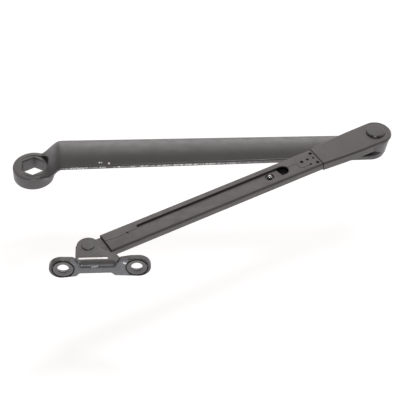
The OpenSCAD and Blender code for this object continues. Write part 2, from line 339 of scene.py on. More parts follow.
def paint(name, base, worn=0.0, bare_metal_mask=None, painted_reflection=None, grain=0.0, rough=0.38, peel=0.5,
          gloss=PAINT_GLOSS, hollow_shade=0.8):
    """Satin paint: mottled tone, orange peel, painted shade darkening the hollows and wear on the corners.

    Two mask functions may be given: one for bare metal, used for spots worn through the paint and for
    painted highlights and glints drawn as bare metal, and one for a painted reflection of the pale floor,
    a paler bluer tint; grain is the strength of lines along the forearm.
    """
    g = Graph(name)
    mottle = g.noise(55, 4, 0.6)
    fine = g.noise(900, 3, 0.55)
    peel_height = g.noise(620, 2, 0.5)
    tone = g.ramp(mottle, 0.34, 0.68)
    colour = g.mix(tone, rgb(base, 0.86), rgb(base, 1.16))
    # painted reflection: the foot's front is painted paler and bluer, as if lit by the pale floor
    if painted_reflection is not None:
        colour = g.mix(painted_reflection(g, mottle), colour, rgb(REFLECTION_TINT))
    speck = g.ramp(fine, 0.62, 0.74, 0.0, 0.35)
    colour = g.mix(speck, colour, rgb(base, 1.7))
    g.shader.inputs["Specular IOR Level"].default_value = 1.0
    g.shader.inputs["IOR"].default_value = gloss
    point = g.node("ShaderNodeNewGeometry").outputs["Pointiness"]
    breakup = g.ramp(g.noise(260, 4, 0.65), 0.50, 0.66)
    edge = g.math("MULTIPLY", g.ramp(point, 0.56, 0.66), breakup)
    edge = g.math("MULTIPLY", edge, worn)
    # painted shade: the hollows are darkened in colour where shade falls into them
    if hollow_shade:
        colour = g.mix(g.ramp(point, 0.36, 0.47, hollow_shade, 0.0), colour, rgb(base, 0.25))
    colour = g.mix(edge, colour, rgb(base, 3.2))
    roughness = g.ramp(g.noise(120, 3, 0.6), 0.3, 0.7, rough - 0.06, rough + 0.08)
    metallic = None
    # bare metal: spots worn through the paint, and painted highlights and glints drawn as bare metal
    if bare_metal_mask is not None:
        bare_spot = bare_metal_mask(g)
        colour = g.mix(bare_spot, colour, rgb(BARE))
        metallic = g.math("MULTIPLY", bare_spot, BARE_METALLIC)
    g.link(colour, g.shader.inputs["Base Color"])
    g.link(roughness, g.shader.inputs["Roughness"])
    if metallic is not None:
        g.link(metallic, g.shader.inputs["Metallic"])
    layers = [(mottle, 0.25, 0.3), (peel_height, peel, 0.05)]
    if grain:
        angle = -math.atan2(REACH.y, REACH.x)
        layers.append((g.noise(1, 3, 0.6, g.stretched(GRAIN_STRETCH, angle)), grain, 0.04))
    layers.append((fine, 0.25, 0.03))
    g.bump(layers)
    return g.material


def metal(name, base, rough, scratch=0.3):
    """Bare metal with fine scratches and a little tarnish."""
    g = Graph(name)
    g.shader.inputs["Metallic"].default_value = 1.0
    tarnish = g.noise(180, 4, 0.6)
    colour = g.mix(g.ramp(tarnish, 0.35, 0.7), rgb(base), rgb(base, 0.72))
    g.link(colour, g.shader.inputs["Base Color"])
    roughness = g.ramp(g.noise(500, 3, 0.6), 0.3, 0.7, max(rough - 0.05, 0.03), rough + 0.08)
    g.link(roughness, g.shader.inputs["Roughness"])
    g.bump([(g.noise(2200, 2, 0.5), scratch, 0.01)])
    return g.material


def nylon_material():
    """Black moulded nylon."""
    g = Graph("nylon")
    cloud = g.noise(90, 3, 0.5)
    g.link(g.mix(g.ramp(cloud, 0.3, 0.7), (0.016, 0.016, 0.017, 1), (0.028, 0.028, 0.030, 1)),
           g.shader.inputs["Base Color"])
    g.link(g.ramp(cloud, 0.3, 0.7, 0.45, 0.58), g.shader.inputs["Roughness"])
    g.bump([(g.noise(1500, 2, 0.5), 0.2, 0.02)])
    return g.material


# The band of bare flecks along the main arm's near side: where it starts and ends along the arm, the
# lengths over which it comes and goes, the side's place and slope, its depth, and its heights
FLECKS_START, FLECKS_END = 22, 215
FLECKS_FADE_IN, FLECKS_FADE_OUT = 12, 90
SIDE_Y, SIDE_SLOPE = -16.7, 0.0146
FLECKS_DEPTH = 0.75
FLECKS_LOW, FLECKS_HIGH = (21.9, 22.2), (23.1, 23.4)


def side_flecks(g):
    """Bare flecks along the near side of the main arm, thinning out towards the elbow."""
    parts = g.node("ShaderNodeSeparateXYZ")
    g.link(g.coords, parts.inputs[0])
    along, across, height = parts.outputs
    side = g.math("ADD", g.math("MULTIPLY", along, SIDE_SLOPE), SIDE_Y * MM)
    inside = g.math("SUBTRACT", across, side)
    low, high = FLECKS_LOW, FLECKS_HIGH
    band = g.math("MULTIPLY", g.ramp(inside, FLECKS_DEPTH * 0.7 * MM, FLECKS_DEPTH * MM, 1.0, 0.0),
                  g.math("MULTIPLY", g.ramp(height, low[0] * MM, low[1] * MM),
                         g.ramp(height, high[0] * MM, high[1] * MM, 1.0, 0.0)))
    start = g.ramp(along, FLECKS_START * MM, (FLECKS_START + FLECKS_FADE_IN) * MM)
    stop = g.ramp(along, (FLECKS_END - FLECKS_FADE_OUT) * MM, FLECKS_END * MM, 1.0, 0.0)
    flecks = g.ramp(g.noise(560, 5, 0.75), 0.46, 0.53, 0.0, 0.9)
    coarse = g.ramp(g.noise(110, 3, 0.6), 0.36, 0.48)
    mask = g.math("MULTIPLY", g.math("MULTIPLY", band, flecks), g.math("MULTIPLY", start, stop))
    return g.math("MULTIPLY", mask, coarse)


SPOT_RAGGED = 0.8
SPOT_FADE = (0.1, 0.6)


def chip_and_glint_mask(g, spots):
    """Small bare spots around places in the row's frame, for paint worn through and for painted glints:
    (x, y, z, radius) in millimetres.
    """
    mask = None
    ragged = g.math("MULTIPLY", g.noise(900, 3, 0.6), SPOT_RAGGED * MM)
    for x, y, z, radius in spots:
        distance = g.node("ShaderNodeVectorMath", operation="DISTANCE")
        g.link(g.coords, distance.inputs[0])
        distance.inputs[1].default_value = (x * MM, y * MM, z * MM)
        edge = g.math("ADD", distance.outputs["Value"], ragged)
        bare_spot = g.ramp(edge, (radius + SPOT_FADE[0]) * MM, (radius + SPOT_FADE[1]) * MM, 1.0, 0.0)
        mask = bare_spot if mask is None else g.math("MAXIMUM", mask, bare_spot)
    return mask


def box_mask(g, low, high, soft=0.1):
    """One inside a box in the row's frame, in millimetres, nought outside it."""
    parts = g.node("ShaderNodeSeparateXYZ")
    g.link(g.coords, parts.inputs[0])
    mask = None
    for axis in range(3):
        for bound, side in ((low[axis], -1), (high[axis], 1)):
            edge = g.ramp(parts.outputs[axis], (bound - soft) * MM, (bound + soft) * MM,
                          1.0 if side > 0 else 0.0, 0.0 if side > 0 else 1.0)
            mask = edge if mask is None else g.math("MULTIPLY", mask, edge)
    return mask


ARM_LOW, ARM_HIGH = span("main_arm")
EYE_R = -ARM_LOW.x
EYE_H = 11.5


# three chips on the bar, (x, y, z, radius), and a painted highlight on the eye's near rim, drawn as pale
# worn metal, from x to x
ARM_CHIPS = ((55.2, -13.0, 25.2, 0.75), (57.0, -13.1, 25.2, 0.6), (62.9, -13.8, 24.9, 0.95))
RIM_GLINT_X = (-1.8, 5.8)
RIM_GLINT_DROP = 0.75
RIM_GLINT_STRENGTH = 0.22


def arm_chips_and_rim_glint(g):
    """The flecks and spots of the main arm worn through to bare metal, and a painted highlight on the
    eye's near rim.
    """
    bare_metal_mask = g.math("MAXIMUM", side_flecks(g), chip_and_glint_mask(g, ARM_CHIPS))
    # painted highlight: a pale band of bare metal along the eye's near rim
    rim_glint = box_mask(g, (RIM_GLINT_X[0], -EYE_R - 1, EYE_H - RIM_GLINT_DROP),
                      (RIM_GLINT_X[1], 0.5 - EYE_R, EYE_H + 0.5))
    return g.math("MAXIMUM", bare_metal_mask, g.math("MULTIPLY", rim_glint, RIM_GLINT_STRENGTH))


# the foot's waist, from and to, across the shoe's pivot, where the painted reflection is laid
WAIST_SPAN = (-12, 30)
FAR_OFF = 100


def foot_painted_reflection(g, mottle):
    """A painted reflection of the pale floor: the front of the foot painted paler and bluer across its
    waist.
    """
    low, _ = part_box("shoe_bracket")
    front = low.y / MM
    left, right = WAIST_SPAN
    mask = box_mask(g, (SHOE.x + left, front - 2, -FAR_OFF), (SHOE.x + right, front + 1.3, FAR_OFF), 0.5)
    return g.math("MULTIPLY", mask, g.ramp(mottle, 0.3, 0.6, 0.55, 0.95))


# The slit in the shoe, left, right, near and far from the shoe's pivot; its ledge; the ear's top
SLIT = (-7.0, 15.0, -14.2, -11.6)
LEDGE = 2.1
EAR_Z = 43.8
# painted glints on the shoe's bend, drawn as bare metal: three in a row, then two by the right hole; (x,
# y, z, radius)
BEND_GLINTS = ((3.4, -20.4, 41.6, 0.7), (5.2, -20.3, 41.9, 0.8), (7.0, -20.2, 42.2, 0.7),
              (27.0, -20.2, 45.6, 1.0), (28.4, -20.4, 45.0, 1.0))


def shoe_painted_glints(g):
    """Painted highlights: the ledge in the slit as bright bare metal, so that it reads as a white band,
    and glints on the bend as bare spots.
    """
    left, right, _, far = SLIT
    # painted highlight: the ledge is painted bright bare metal
    ledge = box_mask(g, (SHOE.x + left, SHOE.y + far - LEDGE - 0.1, EAR_Z - 1),
                     (SHOE.x + right, SHOE.y + far, EAR_Z - 0.3))
    spots = [(SHOE.x + x, SHOE.y + y, z, radius) for x, y, z, radius in BEND_GLINTS]
    return g.math("MAXIMUM", ledge, chip_and_glint_mask(g, spots))


PAINT_ARM = paint("paint_arm", COOL, worn=0.25, bare_metal_mask=arm_chips_and_rim_glint, rough=0.34, peel=0.5)
PAINT_FOREARM = paint("paint_forearm", WARM, worn=0.12, grain=0.2, rough=0.35)
PAINT_CHANNEL = paint("paint_channel", WARM, worn=0.12, grain=0.1, rough=0.35)
PAINT_INNER = paint("paint_inner", INNER, worn=0.1, grain=0.4, rough=0.34)
PAINT_SHOE = paint("paint_shoe", COOL, worn=0.12, bare_metal_mask=shoe_painted_glints, painted_reflection=foot_painted_reflection, rough=0.31,
                   peel=0.35, hollow_shade=0)
PAINT_SCREW = paint("paint_screw", COOL, worn=0.5, rough=0.30, peel=0.35, gloss=SCREW_GLOSS)
PAINT_RIVET = paint("paint_rivet", COOL, worn=0.2, rough=0.30, peel=0.3)
BALL = metal("ball_steel", (0.50, 0.50, 0.52), 0.07, 0.1)
PLATED = metal("spring_steel", (0.55, 0.55, 0.56), 0.32)
BRONZE = metal("bronze", (0.48, 0.31, 0.15), 0.38)
NYLON = nylon_material()

# ---------------- main arm
SPOTFACE_R = 12.8
SPOTFACE_TILT = math.radians(2.6)
RELIEF = 0.5
HEX_AF = 17.4
HEX_LEAD = 0.8
BAR_Z = 20.7
BAR_T = 7.0
BAR_W_EYE = 33.2
BAR_W_ELBOW = 25.8
BAR_END_BACK = 4.2
NECK_END = 21
NECK_STEP = 0.7
BOSS_R = 11.9
TAIL_BORE_R = 7.2
TAIL_BORE_H = 3.9
BUSHING_R = (span("elbow_bushing")[1].x - span("elbow_bushing")[0].x) / 2


def follow(stations, x):
    """A smooth height through (x, height) stations, level beyond both ends."""
    if x <= stations[0][0]:
        return stations[0][1]
    for index in range(len(stations) - 1):
        (x0, z0), (x1, z1) = stations[index], stations[index + 1]
        if x <= x1:
            before = stations[max(index - 1, 0)]
            after = stations[min(index + 2, len(stations) - 1)]
            slope0 = (z1 - before[1]) / (x1 - before[0])
            slope1 = (after[1] - z0) / (after[0] - x0)
            width = x1 - x0
            t = (x - x0) / width
            return ((2 * t ** 3 - 3 * t ** 2 + 1) * z0 + (t ** 3 - 2 * t ** 2 + t) * width * slope0
                    + (3 * t ** 2 - 2 * t ** 3) * z1 + (t ** 3 - t ** 2) * width * slope1)
    return stations[-1][1]


# The joggle rises sooner along the far edge than along the near one.
EDGE_TOP = BAR_Z + BAR_T - 4.1
NEAR_TOP = [(0, 7.5), (5, 10.6), (8, 12.0), (11, 12.8), (14, 14.4), (17, 17.3), (19.3, 19.8), (21.7, 22.1),
            (24, EDGE_TOP - 0.2), (27, EDGE_TOP)]
FAR_TOP = [(0, 9.0), (4.5, 10.6), (7.1, 11.9), (10.5, 14.5), (13.7, 17.3), (18.1, 21.4), (20.7, 23.0),
           (24, EDGE_TOP)]
UNDERSIDE = [(0, 1.6), (5, 2.0), (8, 3.2), (11, 6.0), (14, 10.0), (16.5, 13.2), (18.8, 16.2), (21, 18.8),
             (23.2, BAR_Z - 0.3), (26, BAR_Z)]
CROWN = [(0, 0.0), (5, 0.3), (9, 1.2), (15, 2.8), (22, 4.1)]


def bar_section(x, half, foot, crown, low, near, far):
    """One upright section of the bar: flat and narrower below, crowned above, with soft corners."""
    lower = min(1.0, half * 0.3, (min(near, far) - low) * 0.3)
    upper = min(1.5, half * 0.4, (min(near, far) - low) * 0.45)

    def top(y):
        side = 0.5 + 0.5 * y / half
        return near + (far - near) * side + crown * (1 - (y / half) ** 2)

    ring = []
    for y, z in arc((foot - lower, low + lower), lower, -90, 0, 4):
        ring.append((x, y, z))
    crown_half = half - upper
    shoulder = top(crown_half)
    for y, z in arc((crown_half, shoulder - upper), upper, 0, 66, 5):
        ring.append((x, y, z))
    for step in range(1, 20):
        y = crown_half * (1 - step / 10)
        ring.append((x, y, top(y)))
    shoulder = top(-crown_half)
    for y, z in arc((-crown_half, shoulder - upper), upper, 114, 180, 5):
        ring.append((x, y, z))
    for y, z in arc((lower - foot, low + lower), lower, 180, 270, 4):
        ring.append((x, y, z))
    for step in range(1, 8):
        ring.append((x, (foot - lower) * (step / 4 - 1), low))
    return ring


def under_neck(x, half):
    """Half the width of the bar's underside: it starts inside the round eye and widens to the bar's."""
    inside = math.sqrt(max((EYE_R - 0.3) ** 2 - x ** 2, 0))
    return follow([(0, inside), (7, inside), (15, half), (20, half)], x)


def neck_half(x, half):
    """Half the width of the neck's top: it follows the round eye, then widens to the bar's."""
    t = min(max((x - 4) / 10, 0), 1)
    t = t * t * (3 - 2 * t)
    inside = math.sqrt(max((EYE_R - 0.1) ** 2 - x ** 2, 0))
    return inside + (half - inside) * t


def bar_mesh():
    """The bar and its neck, lofted from inside the eye to the round end under the boss."""
    last = ELBOW.x - BAR_END_BACK
    stations = [NECK_STEP * i for i in range(2, 41)] + [30, 40, 60, 90, 120, 150, 180, 210, 240, 262]
    stations += [last + (BAR_W_ELBOW / 2) * math.sin(math.radians(a)) for a in range(0, 84, 6)]
    stations += [last + BAR_W_ELBOW / 2 * math.sin(math.radians(a)) for a in (85.5, 88)]
    rings = []
    for x in stations:
        if x <= NECK_END:
            half = EYE_R - 0.1 - (EYE_R - 0.1 - BAR_W_EYE / 2) * x / NECK_END
            half = neck_half(x, half)
        elif x <= last:
            half = (BAR_W_EYE + (BAR_W_ELBOW - BAR_W_EYE) * (x - NECK_END) / (last - NECK_END)) / 2
        else:
            half = math.sqrt(max((BAR_W_ELBOW / 2) ** 2 - (x - last) ** 2, 0.1))
        full = BAR_W_EYE / 2
        crown = follow(CROWN, x) * (half / full) ** 2
        lift = follow(CROWN, x) - crown
        rings.append(bar_section(x, half, min(half, under_neck(x, half)), crown, follow(UNDERSIDE, x),
                                 follow(NEAR_TOP, x) + lift, follow(FAR_TOP, x) + lift))
    return loft(rings)


def hex_tool():
    """The hexagonal socket, with a lead-in at its top and a broken edge below."""
    corner_r = HEX_AF / 2 / math.cos(math.radians(30))
    lead = HEX_LEAD
    rings = []
    for z, grow in ((-1, 0.1), (0, 0.1), (0.2, 0), (EYE_H - lead, 0), (EYE_H, lead),
                    (EYE_H + 1, lead + 0.5)):
        radius = corner_r + grow
        rings.append([(*point, z) for point in arc((0, 0), radius, 30, 330, 5)])
    return loft(rings)


def build_main_arm():
    """The forging: bar, eye and boss in one, then its socket, spotface and bores."""
    arm = new_object("arm_forging", bar_mesh(), ARM_FRAME)
    eye = lathe([(0, 0), (EYE_R - 0.9, 0), (EYE_R - 0.25, 0.3), (EYE_R, 1.0), (EYE_R, EYE_H - 1.3),
                 (EYE_R - 0.3, EYE_H - 0.4), (EYE_R - 1.1, EYE_H), (0, EYE_H)], steps=128)
    boss_top = ARM_HIGH.z
    boss = lathe([(0, BAR_Z), (8.6, BAR_Z), (9.2, BAR_Z + 0.3), (9.45, BAR_Z + 0.9),
                  (BOSS_R, boss_top - 0.9), (BOSS_R - 0.05, boss_top - 0.3), (BOSS_R - 0.5, boss_top),
                  (0, boss_top)], centre=ELBOW)
    combine(arm, [new_object("eye", eye, ARM_FRAME), new_object("boss", boss, ARM_FRAME)], "UNION")
    spotface = lathe([(0, 0), (SPOTFACE_R - 0.8, 0), (SPOTFACE_R - 0.7, -RELIEF),
                      (SPOTFACE_R - 0.1, -RELIEF), (SPOTFACE_R, 0), (SPOTFACE_R, 30), (0, 30)], steps=128)
    spotface.transform(Matrix.Translation((0, 0, EYE_H)) @ Matrix.Rotation(SPOTFACE_TILT, 4, "Y"))
    tail_bore = lathe([(0, BAR_Z - 1), (TAIL_BORE_R + 0.5, BAR_Z - 1), (TAIL_BORE_R, BAR_Z + 0.5),
                       (TAIL_BORE_R, BAR_Z + TAIL_BORE_H), (0, BAR_Z + TAIL_BORE_H)], centre=ELBOW)
    bore = lathe([(0, BAR_Z), (BUSHING_R, BAR_Z), (BUSHING_R, boss_top + 1), (0, boss_top + 1)],
                 centre=ELBOW)
    tools = [new_object("spotface", spotface, ARM_FRAME), new_object("socket", hex_tool(), ARM_FRAME),
             new_object("tail_bore", tail_bore, ARM_FRAME), new_object("bore", bore, ARM_FRAME)]
    combine(arm, tools, "DIFFERENCE")
    clean(arm)
    return piece(arm, "main_arm", "paint_arm", PAINT_ARM, "main_arm")


# ---------------- forearm: channel, tube and slide
TUBE_LOW, TUBE_HIGH = span("forearm_tube", FOREARM_FRAME)
CHANNEL_LOW, CHANNEL_HIGH = span("elbow_channel", FOREARM_FRAME)
SLIDE_LOW, SLIDE_HIGH = span("slide_bar", FOREARM_FRAME)
BALL_LOW, BALL_HIGH = span("stop_ball", FOREARM_FRAME)
HEAD_LOW, HEAD_HIGH = span("elbow_rivet", FOREARM_FRAME)
CUP_LOW, CUP_HIGH = span("ball_cup", FOREARM_FRAME)
TUBE_WALL = 1.4
SLOT_W = 9.4
SLOT_START = 84.5
SLOT_END = 218.7
SEAM_Y = -0.9
SEAM_W = 0.38
PLATE_T = 2.2
PLATE_R = -CHANNEL_LOW.x
CHANNEL_WALL_START = 10.0
CHANNEL_MOUTH_HALF = 10.6
ELBOW_SHANK_R = 4.95
ELBOW_HEAD_R = 7.7
SHOE_SHANK_R = 3.5
CORNER_R = 1.5
# stake marks: along the forearm, across it, and the mark's radius
STAKES = ((59.8, -5.4, 1.25), (60.4, 0, 0.85), (60.2, 6, 1.3), (65.5, -0.7, 1.05), (66, 5.2, 0.85),
          (71, -0.5, 1.3))


# the pressed corner of the sheet parts: how far in from the wall, and how far below the top
PRESS_CORNER = ((0, 1.55), (0.07, 1.28), (0.97, 0.2), (1.3, 0))


def channel_outline(inset):
    """Plan of the channel: a round end that narrows to the tube's width."""
    half = (CHANNEL_HIGH.y - CHANNEL_LOW.y) / 2
    side = [(22, half - 0.3), (36, half - 1.0), (CHANNEL_HIGH.x, CHANNEL_MOUTH_HALF)]
    near = [(x, y - inset) for x, y in side]
    far = [(x, inset - y) for x, y in reversed(side)]
    return near + far + arc((0, 0), PLATE_R - inset, 270, 90, 40)[1:-1]


def inset_prism(outline_of, levels):
    """A solid through (height, inset) levels of one outline, for rounded sheet edges."""
    return loft([[(x, y, z) for x, y in outline_of(inset)] for z, inset in levels])


def build_channel():
    """The stamped channel: a plate with walls, open round the boss and towards the tube."""
    top, low = CHANNEL_HIGH.z, CHANNEL_LOW.z
    levels = [(low, 0.25), (low + 0.25, 0)] + [(top - drop, inset) for inset, drop in PRESS_CORNER]
    channel = new_object("elbow_plate", inset_prism(channel_outline, levels), FOREARM_FRAME)
    hollow = inset_prism(channel_outline, [(low - 1, PLATE_T), (top - PLATE_T, PLATE_T)])
    wide = 2 * PLATE_R
    open_end = prism([(-wide, -wide), (CHANNEL_WALL_START - 3, -wide), (CHANNEL_WALL_START, -wide),
                      (CHANNEL_WALL_START, wide), (CHANNEL_WALL_START - 3, wide), (-wide, wide)],
                     low - 1, top - PLATE_T)
    mouth = CHANNEL_HIGH.x
    inner = CHANNEL_MOUTH_HALF - PLATE_T
    gate = prism([(mouth - 2, -inner), (mouth + 2, -inner), (mouth + 2, inner), (mouth - 2, inner)],
                 low - 1, top - PLATE_T)
    hole = lathe([(0, low - 2), (ELBOW_SHANK_R, low - 2), (ELBOW_SHANK_R, top + 1), (0, top + 1)])
    tools = [new_object(name, bm, FOREARM_FRAME) for name, bm in
             (("hollow", hollow), ("open_end", open_end), ("gate", gate), ("hole", hole))]
    combine(channel, tools, "DIFFERENCE")
    clean(channel)
    return piece(channel, "forearm", "paint_forearm", PAINT_CHANNEL, "elbow_channel")


def tube_ring(x, inset):
    """The tube's section at one place along it."""
    half = (TUBE_HIGH.y - TUBE_LOW.y) / 2 - inset
    low, top = TUBE_LOW.z + inset, TUBE_HIGH.z - inset
    r = CORNER_R - inset * 0.5
    shrunk = r / CORNER_R
    corner = [(half - across * shrunk, top - drop * shrunk) for across, drop in PRESS_CORNER]
    upper = corner + [(-y, z) for y, z in reversed(corner)]
    section = arc((half - r, low + r), r, -90, 0, 6) + upper + arc((r - half, low + r), r, 180, 270, 6)
    return [(x, y, z) for y, z in section]


def tube_shell():
    """An open-ended tube: outer rings out and inner rings back, with softened ends."""
    start, end = TUBE_LOW.x, TUBE_HIGH.x
    soft = 0.25
    path = [(start, soft), (start + soft, 0), (end - soft, 0), (end, soft), (end, 0.6),
            (end - 2.2, TUBE_WALL), (start + soft, TUBE_WALL), (start, TUBE_WALL - soft)]
    return loft([tube_ring(x, inset) for x, inset in path], closed_path=True)


def slot_tool():
    """The slot in the tube's roof, with a broken edge at its top."""
    half = SLOT_W / 2
    left = arc((SLOT_START + half, 0), half, 270, 90, 20)
    right = [(SLOT_END - 0.8, half), (SLOT_END, half - 0.8),
             (SLOT_END, 0.8 - half), (SLOT_END - 0.8, -half)]
    outline = left + right
    low, top = TUBE_HIGH.z - TUBE_WALL - 0.4, TUBE_HIGH.z
    middle = (SLOT_START + SLOT_END) / 2
    return loft([[(x + (0.25 * grow if x > middle else -0.25 * grow), y * (1 + 0.05 * grow), z)
                  for x, y in outline]
                 for z, grow in ((low, 0), (top - 0.3, 0), (top, 1), (top + 1, 1))])


def ribbon(route, width, low, high):
    """A thin upright wall along a route in plan, for seams."""
    left, right = [], []
    for i, point in enumerate(route):
        before = Vector(route[max(i - 1, 0)])
        after = Vector(route[min(i + 1, len(route) - 1)])
        along = (after - before).normalized()
        across = Vector((-along.y, along.x)) * width / 2
        left.append(tuple(Vector(point) + across))
        right.append(tuple(Vector(point) - across))
    return prism(left + right[::-1], low, high)


def build_tube():
    """The folded tube, with its slot, its two lengths of seam, the stake marks and a weld pit."""
    tube = new_object("tube_sheet", tube_shell(), FOREARM_FRAME)
    low, top = TUBE_HIGH.z - TUBE_WALL - 0.3, TUBE_HIGH.z + 0.5
    near_seam = [(65.0, 4.6), (66.3, 5.7), (73.3, 5.7), (75.0, 4.8), (75.8, 3.2), (75.9, 1.4),
                 (75.2, SEAM_Y - 0.2), (77, SEAM_Y - 0.3), (SLOT_START + 1, SEAM_Y)]
    far_seam = [(SLOT_END - 1, SEAM_Y - 0.6), (228, SEAM_Y - 0.2), (232, SEAM_Y), (237.4, SEAM_Y + 0.5),
                (TUBE_HIGH.x + 1, SEAM_Y - 1.1)]
    tools = [new_object("slot", slot_tool(), FOREARM_FRAME),
             new_object("seam_1", ribbon(near_seam, SEAM_W, low, top), FOREARM_FRAME),
             new_object("seam_2", ribbon(far_seam, SEAM_W * 0.8, low, top), FOREARM_FRAME)]
    pit_top = TUBE_HIGH.z
    for x, y, radius in STAKES:
        wide = radius * 1.1
        pit = lathe([(0, pit_top - 1.3), (radius * 0.85, pit_top - 1.3), (radius, pit_top - 0.4),
                     (wide, pit_top), (wide, pit_top + 1), (0, pit_top + 1)], centre=(x, y), steps=24)
        tools.append(new_object("pit", pit, FOREARM_FRAME))
    weld = lathe([(0, pit_top - 0.9), (0.6, pit_top - 0.8), (0.95, pit_top), (0.95, pit_top + 1),
                  (0, pit_top + 1)], centre=(228, SEAM_Y - 0.2), steps=20)
    tools.append(new_object("weld_pit", weld, FOREARM_FRAME))
    combine(tube, tools, "DIFFERENCE")
    clean(tube)
    return piece(tube, "forearm", "paint_forearm", PAINT_FOREARM, "forearm_tube")


def build_stakes():
    """The peened ends of the six stake pins, at the bottom of their dimples."""
    top = TUBE_HIGH.z - 1.2
    rings = bmesh.new()
    for x, y, _ in STAKES:
        pin = lathe([(0, top - 1.9), (0.8, top - 1.9), (0.8, top - 0.4), (0.5, top - 0.1), (0, top)],
                    centre=(x, y), steps=24)
        mesh = bpy.data.meshes.new("pin")
        pin.to_mesh(mesh)
        pin.free()
        rings.from_mesh(mesh)
        bpy.data.meshes.remove(mesh)
    pins = new_object("stake_ends", rings, FOREARM_FRAME)
    return piece(pins, "forearm", "paint_inner", PAINT_INNER, "stake_pins")


def build_elbow_rivet():
    """The elbow rivet: a peened tail, a shank and a head whose rim is undercut."""
    top = HEAD_HIGH.z
    plate = CHANNEL_HIGH.z
    head_r = ELBOW_HEAD_R
    shank = ELBOW_SHANK_R
    low = HEAD_LOW.z
    profile = [(0, low), (4.6, low), (5.4, low + 0.35), (6.0, low + 1.2), (6.0, low + 1.7),
               (shank, low + 1.7), (shank, plate - 0.05), (head_r - 0.8, plate - 0.05),
               (head_r, plate + 0.65), (head_r, plate + 0.75),
               (head_r - 0.85, top - 0.12), (head_r - 1.3, top - 0.03), (0, top)]
    rivet = new_object("rivet_elbow", lathe(profile), FOREARM_FRAME)
    return piece(rivet, "forearm", "paint_rivet", PAINT_RIVET, "elbow_rivet")


def build_slide():
    """The slide bar: a round end on the shoe's pivot, a slanted inner end and the ball's seat."""
    half = (SLIDE_HIGH.y - SLIDE_LOW.y) / 2
    low, top = SLIDE_LOW.z, SLIDE_HIGH.z
    start = SLIDE_LOW.x
    reach = (SHOE - ELBOW).length
    corner, edge = 0.8, 0.3

    def outline(inset):
        tip = arc((reach, 0), half - inset, 90, -90, 28)
        near, far = start - 1.3 + inset, start + 1.0 + inset
        return tip + [(far + corner, inset - half), (far, inset + corner - half),
                      (near, half - corner - inset), (near + corner, half - inset)]

    levels = [(low, edge), (low + edge, 0), (top - edge, 0), (top, edge)]
    slide = new_object("slide_plate", inset_prism(outline, levels), FOREARM_FRAME)
    bushing = span("shoe_bushing")
    bush_r = (bushing[1].x - bushing[0].x) / 2
    cup_r = (CUP_HIGH.x - CUP_LOW.x) / 2
    cup_x = (CUP_HIGH.x + CUP_LOW.x) / 2
    hole = lathe([(0, low - 1), (bush_r, low - 1), (bush_r, top + 1), (0, top + 1)],
                 centre=(reach, 0), steps=64)
    seat = lathe([(0, low - 1), (cup_r, low - 1), (cup_r, top - 0.4), (cup_r + 0.45, top),
                  (cup_r + 0.45, top + 1), (0, top + 1)], centre=(cup_x, 0), steps=64)
    tools = [new_object("hole", hole, FOREARM_FRAME), new_object("seat", seat, FOREARM_FRAME)]
    combine(slide, tools, "DIFFERENCE")
    clean(slide)
    return piece(slide, "slide", "paint_inner", PAINT_INNER, "slide_bar")


def build_ball():
    """The bright ball in the slide bar's cup."""
    radius = (BALL_HIGH.z - BALL_LOW.z) / 2
    middle = (BALL_HIGH + BALL_LOW) / 2
    profile = [(radius * math.sin(math.radians(a)) if 0 < a < 180 else 0,
                middle.z - radius * math.cos(math.radians(a))) for a in range(0, 181, 6)]
    ball = new_object("ball", lathe(profile, centre=(middle.x, middle.y), steps=48), FOREARM_FRAME)
    return piece(ball, "slide", "ball_steel", BALL, "stop_ball", smooth=60)


# ---------------- shoe
FOOT_T = 4.6
HOLE_SPACING = 54.5
FOOT_X = 9.1
HOLE_Z = 40.4
HOLE_R = 4.15
SEAT_R = 6.0
SEAT_DEPTH = 2.0
FLANGE_R = 7.75
EAR_T = 4.0
EAR_R = 8.6
EAR_LEFT = -9.2
EAR_RIGHT = 24.0
WAIST_Z = 35.2
BEND_REACH = 6.2
BEND_DROP = 3.6
# how the bend runs out at its ends: how far in from the end, and its size there
BEND_ENDS = ((0, 0.3), (0.8, 0.7), (2.4, 1))
FOOT_EDGE = 0.7
EAR_EDGE = 0.45
BRACKET_LOW, BRACKET_HIGH = span("shoe_bracket", SHOE_FRAME)
FOOT_FRONT = BRACKET_LOW.y
WING_R = (BRACKET_HIGH.z - BRACKET_LOW.z) / 2
WING_REACH = 1.2


def foot_outline():
    """Front view of the foot: two round ends, a narrower waist and soft steps between them."""
    left = FOOT_X - HOLE_SPACING / 2 - WING_REACH
    right = FOOT_X + HOLE_SPACING / 2 + WING_REACH
    top = HOLE_Z + WING_R
    low = HOLE_Z - WING_R
    upper = rounded([(EAR_RIGHT + 8, top, 8.0), (EAR_RIGHT + 0.4, top - 1.3, 2.5),
                     (EAR_RIGHT - 2.4, EAR_Z, 2.2), (EAR_LEFT + 2.4, EAR_Z, 2.2),
                     (EAR_LEFT - 0.6, top - 0.5, 3.0), (left, top, 0), (left, low, 0),
                     (-8.8, low + 1.2, 1.6),
                     (-6.2, WAIST_Z, 1.6), (17.2, WAIST_Z, 1.6), (19.8, low + 1.2, 1.6), (right, low, 0),
                     (right, top, 0)])
    outline = []
    for point in upper:
        if point == (left, top):
            outline += arc((left, HOLE_Z), WING_R, 90, 270, 28)
        elif point == (right, low):
            outline += arc((right, HOLE_Z), WING_R, -90, 90, 28)
        elif point not in ((left, low), (right, top)):
            outline.append(point)
    return outline


